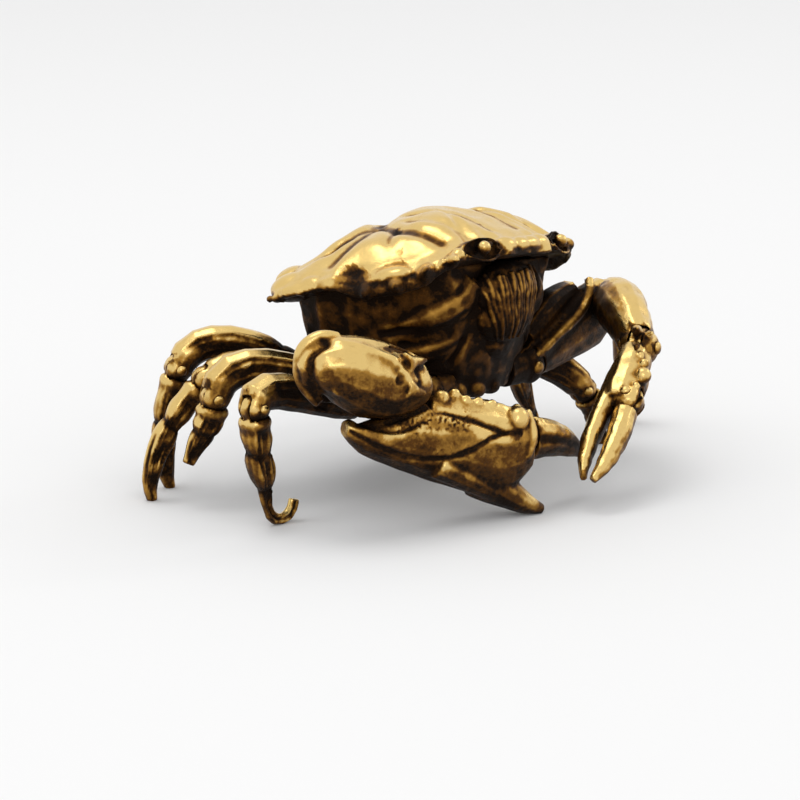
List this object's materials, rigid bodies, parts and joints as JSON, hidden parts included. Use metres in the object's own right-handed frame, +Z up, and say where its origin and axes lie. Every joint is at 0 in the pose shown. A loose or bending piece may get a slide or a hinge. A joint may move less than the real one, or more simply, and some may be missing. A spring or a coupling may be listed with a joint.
{
  "type": "crab_figurine",
  "caption": "Jointed brass crab ornament with a domed shell, walking legs raised on their toes, and two claws folded in front of its face",
  "frame": {"origin": "middle of the footprint's bounding box, on the surface that the feet stand on", "axes": "+X towards the crab's left side, along its longest extent; +Y towards its tail; +Z up, so the face looks along -Y"},
  "size_m": [0.071, 0.0481, 0.0314],
  "materials": {
    "polished_brass": "cast brass polished on the raised parts, with dark patina left in the grooves",
    "aged_brass": "the same brass where it was never polished, brown and satin"
  },
  "bodies": {
    "body": {"carapace": "polished_brass", "underbody": "aged_brass", "mouthparts": "aged_brass", "abdomen": "aged_brass", "right_eye": "polished_brass", "left_eye": "polished_brass", "right_hips": "aged_brass", "left_hips": "aged_brass", "shoulders": "aged_brass", "hip_rivets": "polished_brass", "shoulder_rivets": "polished_brass"},
    "right_thigh_1": {"right_thigh_1": "polished_brass", "right_knee_rivet_1": "polished_brass"},
    "right_shin_1": {"right_shin_1": "polished_brass"},
    "right_thigh_2": {"right_thigh_2": "polished_brass", "right_knee_rivet_2": "polished_brass"},
    "right_shin_2": {"right_shin_2": "polished_brass"},
    "right_thigh_3": {"right_thigh_3": "polished_brass", "right_knee_rivet_3": "polished_brass"},
    "right_shin_3": {"right_shin_3": "polished_brass"},
    "right_thigh_4": {"right_thigh_4": "polished_brass", "right_knee_rivet_4": "polished_brass"},
    "right_shin_4": {"right_shin_4": "polished_brass"},
    "left_thigh_1": {"left_thigh_1": "polished_brass", "left_knee_rivet_1": "polished_brass"},
    "left_shin_1": {"left_shin_1": "polished_brass"},
    "left_thigh_2": {"left_thigh_2": "polished_brass", "left_knee_rivet_2": "polished_brass"},
    "left_shin_2": {"left_shin_2": "polished_brass"},
    "left_thigh_3": {"left_thigh_3": "polished_brass", "left_knee_rivet_3": "polished_brass"},
    "left_shin_3": {"left_shin_3": "polished_brass"},
    "left_thigh_4": {"left_thigh_4": "polished_brass", "left_knee_rivet_4": "polished_brass"},
    "left_shin_4": {"left_shin_4": "polished_brass"},
    "right_arm": {"right_arm": "polished_brass", "right_elbow_rivet": "polished_brass"},
    "right_carpus": {"right_carpus": "polished_brass", "right_wrist_rivet": "polished_brass"},
    "right_palm": {"right_palm": "polished_brass", "right_finger_rivet": "polished_brass"},
    "right_finger": {"right_finger": "polished_brass"},
    "left_arm": {"left_arm": "polished_brass", "left_elbow_rivet": "polished_brass"},
    "left_carpus": {"left_carpus": "polished_brass", "left_wrist_rivet": "polished_brass"},
    "left_palm": {"left_palm": "polished_brass", "left_finger_rivet": "polished_brass"},
    "left_finger": {"left_finger": "polished_brass"}
  },
  "joints": [
    {"name": "right_hip_1", "type": "hinge", "parent": "body", "child": "right_thigh_1", "pos_m": [-0.01455, 0.00065, 0.0112], "axis": [0.075, 0.9972, 0], "range_deg": [-8, 14]},
    {"name": "right_knee_1", "type": "hinge", "parent": "right_thigh_1", "child": "right_shin_1", "pos_m": [-0.0339, 0.0021, 0.0138], "axis": [0.075, 0.9972, 0], "range_deg": [0, 16]},
    {"name": "right_hip_2", "type": "hinge", "parent": "body", "child": "right_thigh_2", "pos_m": [-0.01475, 0.00525, 0.0116], "axis": [0.5, 0.866, 0], "range_deg": [-8, 14]},
    {"name": "right_knee_2", "type": "hinge", "parent": "right_thigh_2", "child": "right_shin_2", "pos_m": [-0.02809, 0.01295, 0.0123], "axis": [0.5, 0.866, 0], "range_deg": [-8, 16]},
    {"name": "right_hip_3", "type": "hinge", "parent": "body", "child": "right_thigh_3", "pos_m": [-0.01435, 0.00985, 0.012], "axis": [0.5105, 0.8599, 0], "range_deg": [-8, 14]},
    {"name": "right_knee_3", "type": "hinge", "parent": "right_thigh_3", "child": "right_shin_3", "pos_m": [-0.02553, 0.01649, 0.0134], "axis": [0.5105, 0.8599, 0], "range_deg": [-8, 16]},
    {"name": "right_hip_4", "type": "hinge", "parent": "body", "child": "right_thigh_4", "pos_m": [-0.01295, 0.01325, 0.013], "axis": [0.575, 0.8181, 0], "range_deg": [-8, 14]},
    {"name": "right_knee_4", "type": "hinge", "parent": "right_thigh_4", "child": "right_shin_4", "pos_m": [-0.02457, 0.02142, 0.014], "axis": [0.575, 0.8181, 0], "range_deg": [-8, 16]},
    {"name": "left_hip_1", "type": "hinge", "parent": "body", "child": "left_thigh_1", "pos_m": [0.01185, 0.00065, 0.0114], "axis": [-0.4586, -0.8886, 0], "range_deg": [-8, 14]},
    {"name": "left_knee_1", "type": "hinge", "parent": "left_thigh_1", "child": "left_shin_1", "pos_m": [0.0202, -0.00366, 0.007], "axis": [-0.4586, -0.8886, 0], "range_deg": [-8, 16]},
    {"name": "left_hip_2", "type": "hinge", "parent": "body", "child": "left_thigh_2", "pos_m": [0.01205, 0.00525, 0.0116], "axis": [-0.274, -0.9617, 0], "range_deg": [-8, 14]},
    {"name": "left_knee_2", "type": "hinge", "parent": "left_thigh_2", "child": "left_shin_2", "pos_m": [0.03359, -0.00089, 0.0134], "axis": [-0.274, -0.9617, 0], "range_deg": [-8, 16]},
    {"name": "left_hip_3", "type": "hinge", "parent": "body", "child": "left_thigh_3", "pos_m": [0.01165, 0.00985, 0.012], "axis": [-0.0628, -0.998, 0], "range_deg": [-8, 14]},
    {"name": "left_knee_3", "type": "hinge", "parent": "left_thigh_3", "child": "left_shin_3", "pos_m": [0.02383, 0.00908, 0.012], "axis": [-0.0628, -0.998, 0], "range_deg": [-8, 16]},
    {"name": "left_hip_4", "type": "hinge", "parent": "body", "child": "left_thigh_4", "pos_m": [0.01025, 0.01435, 0.013], "axis": [0.342, -0.9397, 0], "range_deg": [-8, 14]},
    {"name": "left_knee_4", "type": "hinge", "parent": "left_thigh_4", "child": "left_shin_4", "pos_m": [0.02284, 0.01893, 0.014], "axis": [0.342, -0.9397, 0], "range_deg": [-8, 16]},
    {"name": "right_shoulder", "type": "hinge", "parent": "body", "child": "right_arm", "pos_m": [-0.01135, -0.00375, 0.0122], "axis": [-0.0314, 0.9995, 0], "range_deg": [0, 8]},
    {"name": "right_elbow", "type": "hinge", "parent": "right_arm", "child": "right_carpus", "pos_m": [-0.03125, -0.00645, 0.0174], "axis": [-0.454, -0.891, 0], "range_deg": [-4, 3]},
    {"name": "right_wrist", "type": "hinge", "parent": "right_carpus", "child": "right_palm", "pos_m": [-0.02546, -0.0094, 0.0178], "axis": [-0.454, -0.891, 0], "range_deg": [-4, 3]},
    {"name": "right_pincer", "type": "hinge", "parent": "right_palm", "child": "right_finger", "pos_m": [-0.0112, -0.01667, 0.0088], "axis": [-0.0523, -0.9986, 0], "range_deg": [-2, 10]},
    {"name": "left_shoulder", "type": "hinge", "parent": "body", "child": "left_arm", "pos_m": [0.00705, -0.00455, 0.0124], "axis": [-0.1201, -0.9928, 0], "range_deg": [-4, 10]},
    {"name": "left_elbow", "type": "hinge", "parent": "left_arm", "child": "left_carpus", "pos_m": [0.02115, -0.00626, 0.0181], "axis": [0, 0, 1], "range_deg": [0, 16]},
    {"name": "left_wrist", "type": "hinge", "parent": "left_carpus", "child": "left_palm", "pos_m": [0.01132, -0.01772, 0.0156], "axis": [-0.2723, 0.9622, 0], "range_deg": [-4, 12]},
    {"name": "left_pincer", "type": "hinge", "parent": "left_palm", "child": "left_finger", "pos_m": [0.00454, -0.02078, 0.01077], "axis": [-0.5283, -0.1495, 0.8358], "range_deg": [0, 14]}
  ]
}
